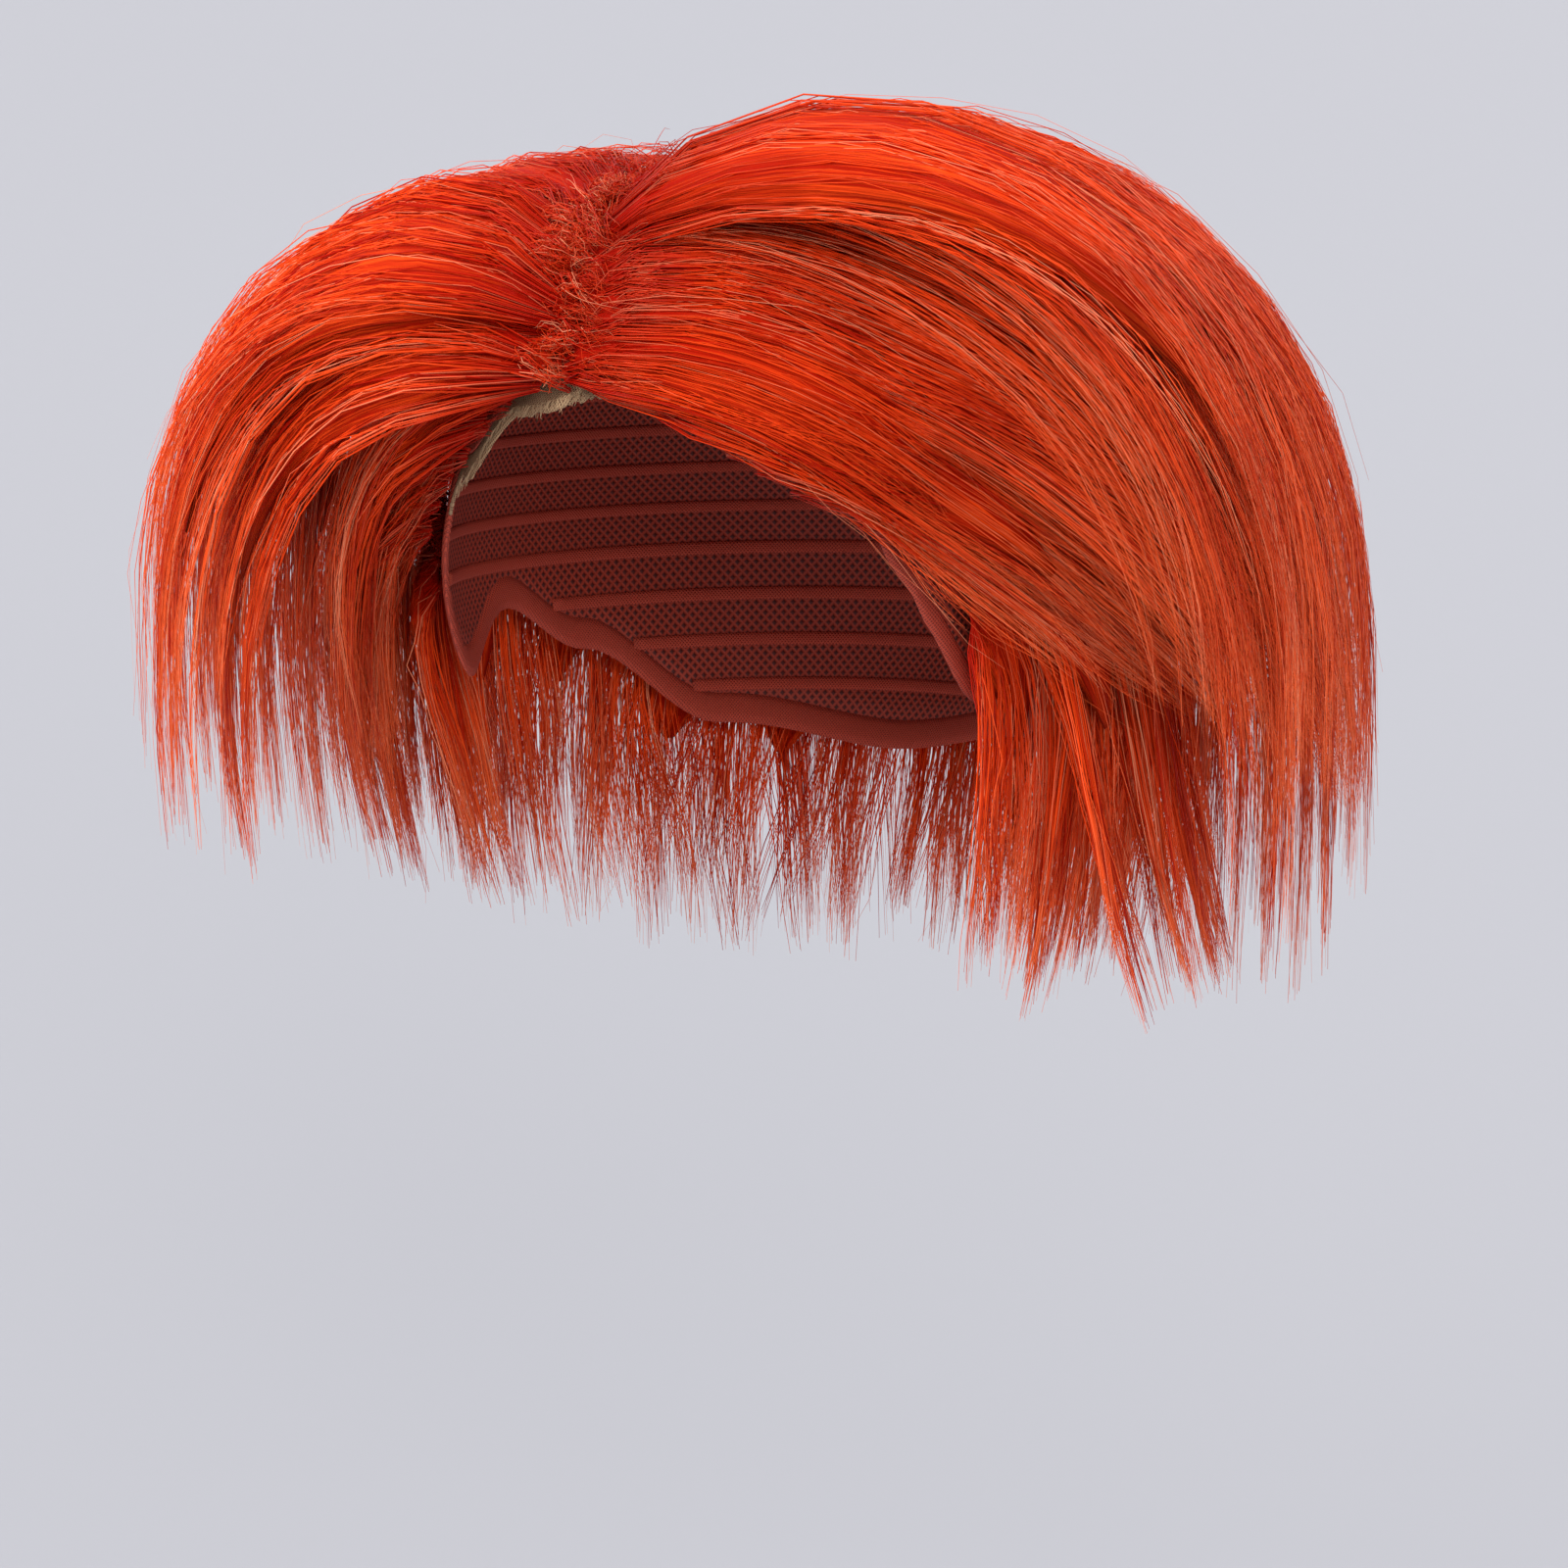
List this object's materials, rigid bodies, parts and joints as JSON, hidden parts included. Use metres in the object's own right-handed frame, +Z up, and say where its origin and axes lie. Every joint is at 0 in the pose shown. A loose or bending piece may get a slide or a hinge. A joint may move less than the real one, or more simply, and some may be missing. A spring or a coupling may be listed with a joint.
{
  "type": "short wig",
  "caption": "Short bob wig worn on a head: parted front, high swept left side, full right curtain, ragged layered ends, on a net cap with a lace front.",
  "frame": {"origin": "inside of the cap at the crown, where the wearer's head carries it", "axes": "+Z up, -Y towards the wearer's face, +X towards the wearer's left"},
  "size_m": [0.3075, 0.2467, 0.2283],
  "materials": {
    "net": "matt knitted net",
    "lace": "thin tan lace",
    "hair": "satin synthetic fibre, bright orange red",
    "rooted_hair": "satin synthetic fibre, darker at the roots"
  },
  "bodies": {
    "root": {"cap": "net", "lace_front": "lace", "parting_hair": "rooted_hair", "right_curtain": "hair", "left_sweep": "hair", "crown_hair": "hair", "back_hair": "hair", "left_side_hair": "hair", "nape_hair": "hair", "right_side_hair": "hair"}
  },
  "joints": []
}
